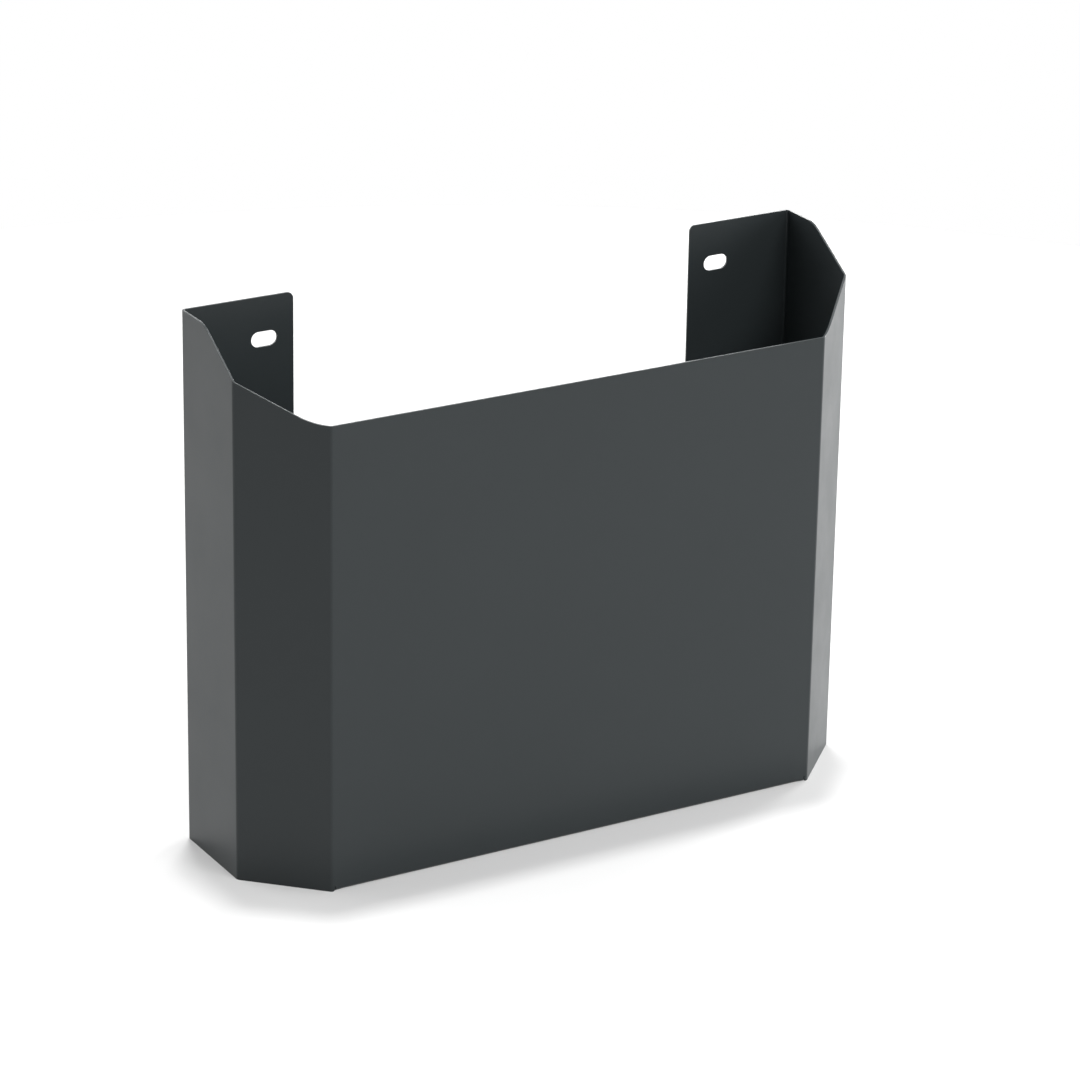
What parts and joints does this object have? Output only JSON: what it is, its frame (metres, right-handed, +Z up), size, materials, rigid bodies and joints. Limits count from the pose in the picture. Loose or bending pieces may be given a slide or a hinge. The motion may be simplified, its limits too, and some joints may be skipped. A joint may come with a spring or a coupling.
{
  "type": "document holder",
  "caption": "Open-topped wall pocket for documents, folded from sheet steel, with slanted front corners, sides that slope down to the front and slotted back flanges.",
  "frame": {"origin": "middle of the footprint, on the plane that the pocket's bottom edges stand on", "axes": "+X along the width, to the right as seen from the front; +Y towards the wall behind the back flanges; +Z up"},
  "size_m": [0.31, 0.08, 0.25],
  "materials": {
    "powder_coat": "dark grey semi-matt powder coat with a fine texture"
  },
  "bodies": {
    "root": {"pocket_shell": "powder_coat", "bottom_plate": "powder_coat"}
  },
  "joints": []
}
